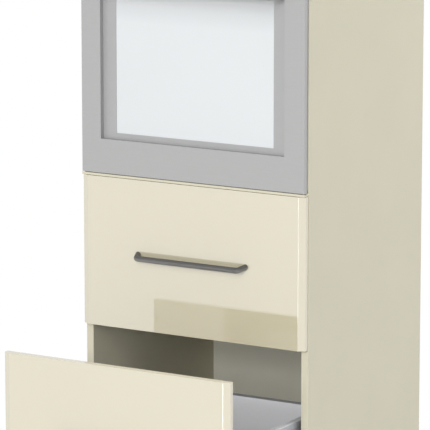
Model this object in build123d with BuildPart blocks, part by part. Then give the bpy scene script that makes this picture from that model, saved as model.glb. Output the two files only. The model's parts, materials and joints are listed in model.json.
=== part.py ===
from build123d import *
import os

os.makedirs("parts", exist_ok=True)

# Tall kitchen cabinet with a built-in oven, two pull-outs below it and a door above it.
# Millimetres. +Z is up, -Y is the front, +X is the right-hand side seen from the front.
# The origin is on the floor, under the middle of the carcass.

# Carcass
width = 600.0
depth = 560.0
height = 2000.0
leg_height = 150.0
board = 18.0
hardboard = 3.0
hardboard_margin = 2.0
peg_fit = 0.1

# Fronts
front_thick = 18.0
front_gap = 1.5
front_side_gap = 1.5
front_end_margin = 2.0
front_joint = 2.0
bevel_width = 16.0
bevel_depth = 7.5
bevel_round = 8.0
edge_soften = 0.8
drawer_front_height = 358.0

# Oven niche
gap_under_oven = 8.0
oven_lip = 6.0
niche_height = 590.0
oven_top_margin = 1.0
oven_side_gap = 2.5
gap_over_oven = 4.0

# Pull-outs
runner_length = 500.0
runner_setback = 4.0
runner_height = 45.0
runner_depth = 12.7
runner_sheet = 1.2
runner_play = 0.3
runner_lift = 35.0
box_length = 500.0
box_height = 166.0
box_lift = 24.0
side_thick = 16.0
side_sheet = 1.2
rim_height = 14.0
rim_overhang = 1.5
rim_round = 3.0
floor_lift = 8.0
floor_thick = 16.0
back_thick = 16.0
box_play = 0.2
lower_pulled_out = 338.0

# Bow handles of the fronts
handle_rod = 14.0
handle_spacing = 288.0
handle_splay = 8.0
handle_reach = 22.0
handle_drop = 5.0
handle_bend = 9.0
handle_screw_radius = 2.0
handle_screw_bite = 7.0
screw_head_radius = 4.0
screw_head_thick = 2.5

# Oven door and control panel
oven_panel_height = 108.0
oven_panel_joint = 3.0
frame_depth = 13.5
frame_side = 52.0
frame_bottom = 81.5
frame_top = 34.0
frame_sheet = 2.0
frame_soften = 1.2
inset_sheet = 1.2
inset_lap = 20.0
window_margin_x = 35.2
window_margin_z = 14.3
window_thick = 4.0
window_lap = 10.0
oven_handle_rod = 15.0
oven_handle_inset = 62.0
oven_handle_splay = 0.0
oven_handle_reach = 45.0
oven_handle_bend = 18.0
oven_handle_drop = 35.0

# Places worked out from the sizes above
front_y = -depth / 2
back_y = depth / 2
outer_x = width / 2
inner_x = outer_x - board
front_back_y = front_y - front_gap
front_face_y = front_back_y - front_thick
front_half = outer_x - front_side_gap
lower_front_z = leg_height + front_end_margin
middle_front_z = lower_front_z + drawer_front_height + front_joint
oven_z = middle_front_z + drawer_front_height + gap_under_oven
niche_floor_z = oven_z + oven_lip
niche_top_z = niche_floor_z + niche_height
oven_top_z = niche_top_z - oven_top_margin
door_z = oven_top_z + gap_over_oven
door_top_z = height - front_end_margin
board_floors = [leg_height, niche_floor_z - board, niche_top_z, height - board]

# Where boards are joined and things are screwed on
joint_inset = 60.0
joint_rows = [front_y + joint_inset, back_y - joint_inset]
system_inset = 37.0
system_pitch = 32.0


def save(piece, label):
    piece.part.label = label
    export_step(piece.part, f"parts/{label}.step")


def block(x_range, y_range, z_range, mode=Mode.ADD):
    """A box between pairs of coordinates, in the part that is being built."""
    spans = [sorted(span) for span in (x_range, y_range, z_range)]
    with Locations(tuple((low + high) / 2 for low, high in spans)):
        Box(*[high - low for low, high in spans], mode=mode)


def pegs(starts, direction, radius, length, mode=Mode.ADD):
    """Round pegs, or their holes, that start at points and run along a direction."""
    with Locations([Plane(origin=start, z_dir=direction) for start in starts]):
        Cylinder(radius, length, align=(Align.CENTER, Align.CENTER, Align.MIN), mode=mode)


def spread(low, high, count):
    """Evenly spaced places with one at each end."""
    return [low + (high - low) * step / (count - 1) for step in range(count)]


# Screws round the two hardboard backs, in the rear edges of the boards
back_screw_radius = 1.5
back_screw_length = 18.0
back_screw_head_radius = 3.5
back_screw_head_thick = 1.6
hardboard_half = outer_x - hardboard_margin
lower_back = (leg_height + hardboard_margin, niche_floor_z - hardboard_margin)
upper_back = (niche_top_z + hardboard_margin, height - hardboard_margin)


def back_screw_places(span, boards_z, rows):
    """Screw places round one hardboard back: up both sides and along its two boards."""
    side_x = outer_x - board / 2
    up = spread(span[0] + joint_inset, span[1] - joint_inset, rows)
    places = [(sign * side_x, z) for sign in (-1, 1) for z in up]
    across = spread(-side_x / 2, side_x / 2, 3)
    return places + [(x, z + board / 2) for z in boards_z for x in across]


lower_screws = back_screw_places(lower_back, board_floors[:2], 5)
upper_screws = back_screw_places(upper_back, board_floors[2:], 4)
back_screws = lower_screws + upper_screws

# Runner screws, three to each cabinet member
runner_screw_radius = 2.0
runner_screw_length = 12.0
runner_screw_head_radius = 4.0
runner_screw_head_thick = 1.3
runner_y = front_y + runner_setback
runner_screw_rows = [runner_y + runner_length * share for share in (0.07, 0.45, 0.9)]


def runner_z(front_z):
    """Height of the middle of the runners behind a drawer front."""
    return front_z + box_lift + runner_lift


runner_levels = [runner_z(lower_front_z), runner_z(middle_front_z)]

# Shelf pins and the rows of holes that they can move to
pin_radius = 2.5
pin_hole_depth = 10.0
pin_count = 7
pin_head_radius = 4.0
pin_reach = 9.0
shelf_setback = 20.0
shelf_play = 1.0
shelf_z = (door_z + door_top_z) / 2
pin_z = shelf_z - pin_head_radius - peg_fit
pin_rows = [front_y + system_inset, back_y - system_inset - board]
pin_levels = [pin_z + system_pitch * (step - pin_count // 2) for step in range(pin_count)]

# Hinges of the upper door
hinge_inset = 100.0
hinge_levels = [door_z + hinge_inset, door_top_z - hinge_inset]
hinge_screw_spacing = 32.0
hinge_screw_radius = 2.5
hinge_screw_length = 11.0
hinge_screw_places = [(-inner_x, front_y + system_inset, z + offset) for z in hinge_levels
                      for offset in (-hinge_screw_spacing / 2, hinge_screw_spacing / 2)]

# Oven screws, through the flanges into the front edges of the sides
oven_flange = 14.5
oven_flange_sheet = 1.5
oven_screw_radius = 2.0
oven_screw_length = 16.0
oven_screw_head_radius = 3.8
oven_screw_head_thick = 2.0
oven_screw_x = inner_x + oven_flange / 2
oven_screw_inset = 40.0
oven_screw_levels = [niche_floor_z + oven_screw_inset, niche_top_z - oven_screw_inset]
oven_screw_places = [(sign * oven_screw_x, front_y, z) for sign in (-1, 1)
                     for z in oven_screw_levels]

# Cam fittings that pull the boards against the side panels
cam_radius = 7.5
cam_thick = 12.5
cam_inset = 34.0
bolt_radius = 3.2
bolt_hole_radius = 4.0
bolt_thread_radius = 2.5
bolt_thread_length = 11.0

# Side panels, drilled on the inside only
with BuildPart() as drilled_side:
    block((-outer_x, -inner_x), (front_y, back_y), (leg_height, height))
    pegs([(-inner_x, y, z + board / 2) for z in board_floors for y in joint_rows], (-1, 0, 0),
         bolt_thread_radius + peg_fit, bolt_thread_length + peg_fit, Mode.SUBTRACT)
    pegs([(-inner_x, y, z) for z in runner_levels for y in runner_screw_rows], (-1, 0, 0),
         runner_screw_radius + peg_fit, runner_screw_length + peg_fit, Mode.SUBTRACT)
    pegs([(-inner_x, y, z) for z in pin_levels for y in pin_rows], (-1, 0, 0),
         pin_radius + peg_fit, pin_hole_depth + peg_fit, Mode.SUBTRACT)
    pegs([(x, back_y, z) for x, z in back_screws if x < -inner_x], (0, -1, 0),
         back_screw_radius + peg_fit, back_screw_length + peg_fit, Mode.SUBTRACT)
    pegs([place for place in oven_screw_places if place[0] < 0], (0, 1, 0),
         oven_screw_radius + peg_fit, oven_screw_length + peg_fit, Mode.SUBTRACT)

with BuildPart() as side_panel_right:
    mirror(drilled_side.part, about=Plane.YZ)
save(side_panel_right, "side_panel_right")

# Only the left panel takes the screws of the hinge plates
with BuildPart() as side_panel_left:
    add(drilled_side.part)
    pegs(hinge_screw_places, (-1, 0, 0), hinge_screw_radius + peg_fit,
         hinge_screw_length + peg_fit, Mode.SUBTRACT)
save(side_panel_left, "side_panel_left")


def cross_board(floor_z):
    """A board between the side panels, drilled from below for its cam fittings."""
    cam_x = inner_x - cam_inset
    middle_z = floor_z + board / 2
    rear = [(x, back_y, z) for x, z in back_screws
            if floor_z < z < floor_z + board and abs(x) < inner_x]
    with BuildPart() as piece:
        block((-inner_x, inner_x), (front_y, back_y), (floor_z, floor_z + board))
        pegs([(sign * cam_x, y, floor_z) for sign in (-1, 1) for y in joint_rows], (0, 0, 1),
             cam_radius + peg_fit, cam_thick + peg_fit, Mode.SUBTRACT)
        for sign in (-1, 1):
            pegs([(sign * inner_x, y, middle_z) for y in joint_rows], (-sign, 0, 0),
                 bolt_hole_radius, cam_inset, Mode.SUBTRACT)
        pegs(rear, (0, -1, 0), back_screw_radius + peg_fit, back_screw_length + peg_fit,
             Mode.SUBTRACT)
    return piece


board_names = ["bottom_panel", "oven_shelf", "niche_top_panel", "top_panel"]
for board_name, floor_z in zip(board_names, board_floors):
    save(cross_board(floor_z), board_name)

# Cam discs in the boards, and their bolts that screw into the side panels
with BuildPart() as cam_fittings:
    cam_x = inner_x - cam_inset
    pegs([(sign * cam_x, y, floor_z) for floor_z in board_floors for sign in (-1, 1)
          for y in joint_rows], (0, 0, 1), cam_radius, cam_thick)
    for sign in (-1, 1):
        bolts = [(sign * inner_x, y, floor_z + board / 2) for floor_z in board_floors
                 for y in joint_rows]
        pegs(bolts, (sign, 0, 0), bolt_thread_radius, bolt_thread_length)
        pegs(bolts, (-sign, 0, 0), bolt_radius, cam_inset - cam_radius - peg_fit)
save(cam_fittings, "cam_fittings")

# Adjustable shelf on four pins
with BuildPart() as adjustable_shelf:
    shelf_half = inner_x - shelf_play
    block((-shelf_half, shelf_half), (front_y + shelf_setback, back_y - board - shelf_play),
          (shelf_z, shelf_z + board))
save(adjustable_shelf, "adjustable_shelf")

with BuildPart() as shelf_pins:
    for sign in (-1, 1):
        pin_starts = [(sign * inner_x, y, pin_z) for y in pin_rows]
        pegs(pin_starts, (sign, 0, 0), pin_radius, pin_hole_depth)
        pegs(pin_starts, (-sign, 0, 0), pin_head_radius, pin_reach)
save(shelf_pins, "shelf_pins")

# Wall rail under the top panel, with two holes for the wall screws
rail_height = 90.0
wall_hole_radius = 3.5
wall_hole_inset = 57.0
wall_hole_z = height - board - rail_height / 2
wall_holes = [(sign * (inner_x - wall_hole_inset), back_y, wall_hole_z) for sign in (-1, 1)]
with BuildPart() as wall_rail:
    block((-inner_x, inner_x), (back_y - board, back_y),
          (height - board - rail_height, height - board))
    pegs(wall_holes, (0, -1, 0), wall_hole_radius, board, Mode.SUBTRACT)
save(wall_rail, "wall_rail")


def hardboard_back(z_span, screws):
    """A hardboard sheet on the rear edges, with its screw heads let in flush."""
    with BuildPart() as piece:
        block((-hardboard_half, hardboard_half), (back_y, back_y + hardboard), z_span)
        heads = [(x, back_y + hardboard, z) for x, z in screws]
        pegs(heads, (0, -1, 0), back_screw_radius + peg_fit, hardboard, Mode.SUBTRACT)
        pegs(heads, (0, -1, 0), back_screw_head_radius + peg_fit,
             back_screw_head_thick + peg_fit, Mode.SUBTRACT)
    return piece


# Hardboard backs over the two compartments; the oven niche stays open behind
save(hardboard_back(lower_back, lower_screws), "back_panel_lower")

upper_blank = hardboard_back(upper_back, upper_screws)
with BuildPart() as back_panel_upper:
    add(upper_blank.part)
    pegs(wall_holes, (0, 1, 0), wall_hole_radius, hardboard, Mode.SUBTRACT)
save(back_panel_upper, "back_panel_upper")

# Adjustable legs: a socket under the carcass and a foot on a threaded stem
leg_inset = 60.0
leg_setback = 105.0
leg_flange_radius = 36.0
leg_flange_thick = 6.0
socket_radius = 19.0
socket_floor_z = 55.0
stem_radius = 10.0
stem_fit = 0.2
stem_top_z = 135.0
foot_radius = 30.0
foot_thick = 12.0
foot_hub_radius = 15.0
foot_hub_top_z = 28.0
foot_edge = 3.0
leg_x = outer_x - leg_inset
leg_rows = [front_y + leg_setback, back_y - leg_inset]
leg_places = [(sign * leg_x, y) for sign in (-1, 1) for y in leg_rows]
leg_feet_places = [(x, y, 0) for x, y in leg_places]

with BuildPart() as leg_sockets:
    leg_tops = [(x, y, leg_height) for x, y in leg_places]
    pegs(leg_tops, (0, 0, -1), leg_flange_radius, leg_flange_thick)
    pegs(leg_tops, (0, 0, -1), socket_radius, leg_height - socket_floor_z)
    pegs([(x, y, socket_floor_z) for x, y in leg_places], (0, 0, 1), stem_radius + stem_fit,
         stem_top_z - socket_floor_z + stem_fit, Mode.SUBTRACT)
save(leg_sockets, "leg_sockets")

with BuildPart() as leg_feet:
    pegs(leg_feet_places, (0, 0, 1), foot_radius, foot_thick)
    fillet(leg_feet.edges().filter_by(GeomType.CIRCLE).group_by(Axis.Z)[-1], foot_edge)
    pegs(leg_feet_places, (0, 0, 1), foot_hub_radius, foot_hub_top_z)
    pegs(leg_feet_places, (0, 0, 1), stem_radius, stem_top_z)
save(leg_feet, "leg_feet")

# Plinth board, set back, with two clips that grip the front legs
plinth_setback = 50.0
plinth_thick = 16.0
plinth_floor_gap = 3.0
plinth_top_gap = 2.0
clip_z = 90.0
clip_height = 22.0
clip_wall = 3.0
clip_plate = 36.0
clip_mouth = 24.0
plinth_back_y = front_y + plinth_setback + plinth_thick
with BuildPart() as plinth_board:
    block((-front_half, front_half), (front_y + plinth_setback, plinth_back_y),
          (plinth_floor_gap, leg_height - plinth_top_gap))
save(plinth_board, "plinth_board")

with BuildPart() as plinth_clips:
    grip = socket_radius + peg_fit
    clip_span = (clip_z, clip_z + clip_height)
    leg_y = leg_rows[0]
    ring_starts = [(sign * leg_x, leg_y, clip_z) for sign in (-1, 1)]
    pegs(ring_starts, (0, 0, 1), grip + clip_wall, clip_height)
    for sign in (-1, 1):
        x = sign * leg_x
        block((x - clip_plate / 2, x + clip_plate / 2), (plinth_back_y, plinth_back_y + clip_wall),
              clip_span)
        block((x - clip_wall, x + clip_wall), (plinth_back_y, leg_y - grip), clip_span)
        block((x - clip_mouth / 2, x + clip_mouth / 2), (leg_y, leg_y + 2 * grip), clip_span,
              Mode.SUBTRACT)
    pegs(ring_starts, (0, 0, 1), grip, clip_height, Mode.SUBTRACT)
save(plinth_clips, "plinth_clips")

# Runner profiles: three channels, one inside the other, on each side of a box
member_step = runner_sheet + runner_play
middle_member_half = runner_height / 2 - member_step
drawer_member_half = middle_member_half - member_step
lip_end = runner_depth - 2 * member_step


def channels(web, lip, half_height, y_start, level):
    """A pair of channels along Y, with the web and lip distances taken from the sides."""
    span_y = (y_start, y_start + runner_length)
    toward = runner_sheet if lip > web else -runner_sheet
    for sign in (-1, 1):
        web_x = sign * (inner_x - web)
        block((web_x, sign * (inner_x - web - toward)), span_y,
              (level - half_height, level + half_height))
        for edge in (-half_height, half_height - runner_sheet):
            block((web_x, sign * (inner_x - lip)), span_y,
                  (level + edge, level + edge + runner_sheet))


with BuildPart() as cabinet_runners:
    for level in runner_levels:
        channels(0, lip_end, runner_height / 2, runner_y, level)
    for sign in (-1, 1):
        pegs([(sign * inner_x, y, level) for level in runner_levels for y in runner_screw_rows],
             (-sign, 0, 0), runner_screw_radius + peg_fit, runner_sheet, Mode.SUBTRACT)
save(cabinet_runners, "cabinet_runners")

# Screws of the hardboard backs, the runners and the oven, all in the carcass
with BuildPart() as carcass_screws:
    outside = [(x, back_y + hardboard, z) for x, z in back_screws]
    pegs(outside, (0, -1, 0), back_screw_radius, back_screw_length + hardboard)
    pegs(outside, (0, -1, 0), back_screw_head_radius, back_screw_head_thick)
    for sign in (-1, 1):
        heads = [(sign * (inner_x - runner_sheet), y, level) for level in runner_levels
                 for y in runner_screw_rows]
        pegs(heads, (sign, 0, 0), runner_screw_radius, runner_sheet + runner_screw_length)
        pegs(heads, (-sign, 0, 0), runner_screw_head_radius, runner_screw_head_thick)
    flange_heads = [(x, y - oven_flange_sheet, z) for x, y, z in oven_screw_places]
    pegs(flange_heads, (0, 1, 0), oven_screw_radius, oven_flange_sheet + oven_screw_length)
    pegs(flange_heads, (0, -1, 0), oven_screw_head_radius, oven_screw_head_thick)
save(carcass_screws, "carcass_screws")


def front_panel(z_low, z_high, pulled, screw_places, bracket_holes):
    """A lacquered front with a wide soft bevel down each of its two upright edges."""
    rear_y = front_back_y - pulled
    face_y = front_face_y - pulled
    bevel_y = face_y + bevel_depth
    flat = front_half - bevel_width
    with BuildPart() as piece:
        with BuildSketch(Plane.XY.offset(z_low)) as section:
            with BuildLine():
                Polyline((-flat, face_y), (flat, face_y), (front_half, bevel_y),
                         (front_half, rear_y), (-front_half, rear_y), (-front_half, bevel_y),
                         close=True)
            make_face()
            rows = section.vertices().group_by(Axis.Y)
            fillet(rows[0], bevel_round)
            fillet(rows[1], edge_soften)
        extrude(amount=z_high - z_low)
        ends = piece.edges().group_by(Axis.Z)
        rims = [edge for edge in ends[0] + ends[-1] if edge.center().Y < rear_y - edge_soften]
        fillet(rims, edge_soften)
        pegs([(x, rear_y, z) for x, z in screw_places], (0, -1, 0), handle_screw_radius + peg_fit,
             front_thick, Mode.SUBTRACT)
        if bracket_holes:
            pegs([(x, rear_y, z) for x, z in bracket_holes], (0, -1, 0),
                 bracket_screw_radius + peg_fit, bracket_screw_bite + peg_fit, Mode.SUBTRACT)
    return piece


def bow_handle(face_y, middle, across, spacing, splay, reach, drop, rod, bend):
    """A round bar on legs that spread towards their feet. It runs along the direction across."""
    centre = Vector(middle[0], face_y, middle[1])
    lift = Vector(0, 0, drop / 2)
    bar = centre + Vector(0, -reach, 0) - lift
    feet = [centre + across * (side * spacing / 2) + lift for side in (-1, 1)]
    corners = [bar + across * (side * (spacing / 2 - splay)) for side in (-1, 1)]
    roots = [foot + (foot - corner).normalized() * rod / 2 for foot, corner in zip(feet, corners)]
    with BuildPart() as piece:
        with BuildLine() as path:
            FilletPolyline(roots[0], corners[0], corners[1], roots[1], radius=bend)
        with BuildSketch(Plane(origin=path.line @ 0, z_dir=path.line % 0)):
            Circle(rod / 2)
        sweep()
        split(bisect_by=Plane(origin=(0, face_y, 0), z_dir=(0, -1, 0)), keep=Keep.TOP)
        pegs([tuple(foot) for foot in feet], (0, -1, 0), handle_screw_radius + peg_fit,
             handle_screw_bite + peg_fit, Mode.SUBTRACT)
    return piece


def handle_screws(feet, pulled):
    """Handle screws that come through a front from behind, in the part being built."""
    heads = [(x, front_back_y - pulled, z) for x, z in feet]
    pegs(heads, (0, -1, 0), handle_screw_radius, front_thick + handle_screw_bite)
    pegs(heads, (0, 1, 0), screw_head_radius, screw_head_thick)


# Brackets inside the hollow drawer sides
bracket_length = 30.0
bracket_sheet = 3.0
bracket_tongue = 1.5
bracket_height = 100.0
bracket_play = 0.3
bracket_screw_radius = 2.0
bracket_screw_head_radius = 3.4
bracket_screw_bite = 13.0
bracket_screw_inset = 20.0


def pull_out(name, front_z, pulled):
    """One pull-out: front, handle, metal box, moving runner members and fixings."""
    floor_z = front_z + box_lift
    rim_z = floor_z + box_height
    skirt_z = rim_z - rim_height
    panel_z = floor_z + floor_lift
    side_outer = inner_x - runner_depth
    side_inner = side_outer - side_thick
    side_middle = (side_inner + side_outer) / 2
    rear_y = front_back_y - pulled
    span_y = (rear_y, rear_y + box_length)
    handle_middle = (0, front_z + drawer_front_height / 2)
    feet = [(side * handle_spacing / 2, handle_middle[1] + handle_drop / 2) for side in (-1, 1)]
    bracket_top = skirt_z - side_sheet - bracket_play
    bracket_span = (bracket_top - bracket_height, bracket_top)
    bracket_screws = [(sign * side_middle, z) for sign in (-1, 1)
                      for z in (bracket_span[0] + bracket_screw_inset,
                                bracket_span[1] - bracket_screw_inset)]

    save(front_panel(front_z, front_z + drawer_front_height, pulled, feet, bracket_screws),
         f"{name}_front")
    save(bow_handle(front_face_y - pulled, handle_middle, Vector(1, 0, 0), handle_spacing,
                    handle_splay, handle_reach, handle_drop, handle_rod, handle_bend),
         f"{name}_handle")

    # Double-walled steel side with a rolled rim, and a ledge that carries the floor
    outline = [(side_inner, floor_z), (side_outer, floor_z), (side_outer, skirt_z),
               (side_outer + rim_overhang, skirt_z), (side_outer + rim_overhang, rim_z),
               (side_inner, rim_z)]
    with BuildPart() as sides:
        for sign in (-1, 1):
            with BuildSketch(Plane.XZ.offset(-rear_y)) as profile:
                with BuildLine():
                    Polyline([(sign * x, z) for x, z in outline], close=True)
                make_face()
                fillet(profile.vertices().group_by(Axis.Y)[-1], rim_round)
                with Locations((sign * side_middle, (floor_z + skirt_z) / 2)):
                    Rectangle(side_thick - 2 * side_sheet, skirt_z - floor_z - 2 * side_sheet,
                              mode=Mode.SUBTRACT)
            extrude(amount=-box_length)
            block((sign * (side_inner - floor_thick), sign * side_inner), span_y,
                  (panel_z - side_sheet, panel_z))
    save(sides, f"{name}_sides")

    with BuildPart() as floor:
        floor_half = side_inner - box_play
        block((-floor_half, floor_half), span_y, (panel_z, panel_z + floor_thick))
    save(floor, f"{name}_floor")

    with BuildPart() as back:
        back_half = side_inner - box_play
        block((-back_half, back_half), (span_y[1] - back_thick, span_y[1]),
              (panel_z + floor_thick, rim_z))
    save(back, f"{name}_back")

    level = runner_z(front_z)
    with BuildPart() as members:
        channels(runner_depth, 3 * member_step + runner_play, drawer_member_half,
                 runner_y - pulled, level)
    save(members, f"{name}_members")

    with BuildPart() as middle_members:
        channels(2 * member_step, lip_end, middle_member_half, runner_y - pulled / 2, level)
    save(middle_members, f"{name}_middle_members")

    with BuildPart() as fixings:
        half = side_thick / 2 - side_sheet - bracket_play
        for sign in (-1, 1):
            block((sign * (side_middle - half), sign * (side_middle + half)),
                  (rear_y, rear_y + bracket_sheet), bracket_span)
            block((sign * (side_middle + half - bracket_tongue), sign * (side_middle + half)),
                  (rear_y, rear_y + bracket_length), bracket_span)
        pegs([(x, rear_y, z) for x, z in bracket_screws], (0, -1, 0), bracket_screw_radius,
             bracket_screw_bite)
        pegs([(x, rear_y + bracket_sheet, z) for x, z in bracket_screws], (0, 1, 0),
             bracket_screw_head_radius, screw_head_thick)
        handle_screws(feet, pulled)
    save(fixings, f"{name}_fixings")


pull_out("lower_drawer", lower_front_z, lower_pulled_out)
pull_out("middle_drawer", middle_front_z, 0.0)

# Upper door, hung on the left with two cup hinges
door_handle_inset = 40.0
door_handle_lift = 60.0
cup_inset = 22.5
cup_radius = 17.5
cup_depth = 12.5
cup_wall = 1.2
cup_plate_width = 24.0
cup_plate_height = 60.0
cup_plate_thick = 1.0
cup_x = -front_half + cup_inset
door_handle_middle = (front_half - door_handle_inset,
                      door_z + door_handle_lift + handle_spacing / 2)
door_feet = [(door_handle_middle[0], door_handle_middle[1] + side * handle_spacing / 2)
             for side in (-1, 1)]
cup_starts = [(cup_x, front_back_y, z) for z in hinge_levels]


def cup_plates(play, mode=Mode.ADD):
    """The thin plates round the hinge cups, let in flush, or their recesses."""
    for z in hinge_levels:
        half = cup_plate_height / 2 - play
        block((cup_x - cup_plate_width / 2 + play, cup_x + cup_plate_width / 2 - play),
              (front_back_y - cup_plate_thick, front_back_y), (z - half, z + half), mode)


door_blank = front_panel(door_z, door_top_z, 0.0, door_feet, [])
with BuildPart() as upper_door:
    add(door_blank.part)
    pegs(cup_starts, (0, -1, 0), cup_radius + peg_fit, cup_depth + peg_fit, Mode.SUBTRACT)
    cup_plates(0, Mode.SUBTRACT)
save(upper_door, "upper_door")

save(bow_handle(front_face_y, door_handle_middle, Vector(0, 0, 1), handle_spacing, handle_splay,
                handle_reach, 0.0, handle_rod, handle_bend), "upper_door_handle")

with BuildPart() as upper_door_fixings:
    pegs(cup_starts, (0, -1, 0), cup_radius, cup_depth)
    cup_plates(peg_fit)
    pegs(cup_starts, (0, -1, 0), cup_radius - cup_wall, cup_depth - cup_wall, Mode.SUBTRACT)
    handle_screws(door_feet, 0.0)
save(upper_door_fixings, "upper_door_fixings")

# Hinge arms: a plate screwed to the side panel and an arm that ends inside the cup
arm_plate_sheet = 2.0
arm_plate_half = 26.0
arm_plate_setback = 27.0
arm_plate_width = 20.0
arm_thick = 8.0
arm_half = 8.0
arm_neck_half = 5.0
arm_neck_setback = 10.0
arm_tail_setback = 78.0
arm_tip_gap = 0.3
arm_wall = 1.5
with BuildPart() as hinge_arms:
    plate_x = -inner_x + arm_plate_sheet
    arm_span_x = (plate_x, plate_x + arm_thick)
    neck_y = front_y + arm_neck_setback
    tail_y = front_y + arm_tail_setback
    arm_plate_y = front_y + arm_plate_setback
    tip_y = front_back_y - cup_depth + cup_wall + arm_tip_gap
    for z in hinge_levels:
        block((-inner_x, plate_x), (arm_plate_y, arm_plate_y + arm_plate_width),
              (z - arm_plate_half, z + arm_plate_half))
        block((-inner_x, plate_x), (arm_plate_y, tail_y), (z - arm_half, z + arm_half))
        block(arm_span_x, (neck_y, tail_y), (z - arm_half, z + arm_half))
        block(arm_span_x, (tip_y, neck_y), (z - arm_neck_half, z + arm_neck_half))
        block((plate_x, plate_x + arm_thick - arm_wall), (neck_y + arm_wall, tail_y),
              (z - arm_half + arm_wall, z + arm_half - arm_wall), Mode.SUBTRACT)
    pegs(hinge_screw_places, (-1, 0, 0), hinge_screw_radius, hinge_screw_length)
    pegs(hinge_screw_places, (1, 0, 0), screw_head_radius, arm_plate_sheet + arm_wall)
save(hinge_arms, "hinge_arms")

# Oven, seen from the front: the door below and the control panel above
casing_side_gap = 4.0
casing_top_gap = 12.0
casing_rear = 525.0
casing_sheet = 1.0
plate_setback = 28.0
plate_sheet = 1.5
mouth_side = 48.0
mouth_floor = 61.0
mouth_roof = 167.0
mouth_depth = 410.0
cavity_sheet = 1.2
cavity_corner = 14.0
frame_back_y = front_face_y + frame_depth
inset_back_y = frame_back_y + inset_sheet
oven_half = outer_x - oven_side_gap
casing_half = inner_x - casing_side_gap
mouth_half = casing_half - mouth_side
panel = (oven_top_z - oven_panel_height, oven_top_z)
oven_door_top_z = panel[0] - oven_panel_joint
recess_half = oven_half - frame_side
recess = (oven_z + frame_bottom, oven_door_top_z - frame_top)
window_half = recess_half - window_margin_x
window = (recess[0] + window_margin_z, recess[1] - window_margin_z)
plate_y = front_y + plate_setback
plate_back_y = plate_y + plate_sheet
casing = (niche_floor_z, niche_top_z - casing_top_gap)
mouth = (casing[0] + mouth_floor, casing[1] - mouth_roof)
cavity_back_y = plate_back_y + mouth_depth


def grown(span, amount):
    """A span that reaches further, or less far, at both of its ends."""
    return (span[0] - amount, span[1] + amount)


def band(half, span, grow):
    """A rectangle on an upright plane, grown alike on its four sides, for a sketch."""
    low, high = grown(span, grow)
    with Locations((0, (low + high) / 2)):
        Rectangle(2 * (half + grow), high - low)


def upright(y):
    """The upright plane at a depth, facing the front."""
    return Plane.XZ.offset(-y)


# The oven door turns on two pins low behind its front face
pivot_forward = 12.0
pivot_lift = 7.0
pivot_inset = 20.0
pivot_y = front_y - pivot_forward
pivot_z = oven_z + pivot_lift
pivot_x = mouth_half - pivot_inset
pivot_pin_radius = 2.5
pivot_fit = 0.05
pivot_hub_radius = 4.7
pivot_arm_half = 4.0
pivot_ear_gap = 0.5
pivot_ear_thick = 4.0
pivot_slot_play = 2.0

# Raised frame of the door: a pressed shell, open behind, slotted for the hinge arms
with BuildPart() as oven_door_frame:
    with BuildSketch(upright(frame_back_y)):
        band(oven_half, (oven_z, oven_door_top_z), 0)
        with Locations((0, sum(recess) / 2)):
            Rectangle(2 * recess_half, recess[1] - recess[0], mode=Mode.SUBTRACT)
    extrude(amount=frame_depth)
    fillet(oven_door_frame.faces().sort_by(Axis.Y)[0].outer_wire().edges(), frame_soften)
    with BuildSketch(upright(frame_back_y)):
        band(oven_half, (oven_z, oven_door_top_z), -frame_sheet)
        with Locations((0, sum(recess) / 2)):
            Rectangle(2 * (recess_half + frame_sheet), recess[1] - recess[0] + 2 * frame_sheet,
                      mode=Mode.SUBTRACT)
    extrude(amount=frame_depth - frame_sheet, mode=Mode.SUBTRACT)
    slot_half = pivot_arm_half + pivot_slot_play
    for sign in (-1, 1):
        block((sign * (pivot_x - slot_half), sign * (pivot_x + slot_half)),
              (front_face_y + frame_sheet, frame_back_y), (oven_z, oven_z + frame_sheet),
              Mode.SUBTRACT)
save(oven_door_frame, "oven_door_frame")

# Recessed panel with the window opening, and the window pane behind it
with BuildPart() as oven_door_inset:
    with BuildSketch(upright(inset_back_y)):
        band(recess_half, recess, inset_lap)
        with Locations((0, sum(window) / 2)):
            Rectangle(2 * window_half, window[1] - window[0], mode=Mode.SUBTRACT)
    extrude(amount=inset_sheet)
save(oven_door_inset, "oven_door_inset")

with BuildPart() as oven_door_window:
    with BuildSketch(upright(inset_back_y)):
        band(window_half, window, window_lap)
    extrude(amount=-window_thick)
save(oven_door_window, "oven_door_window")

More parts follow.
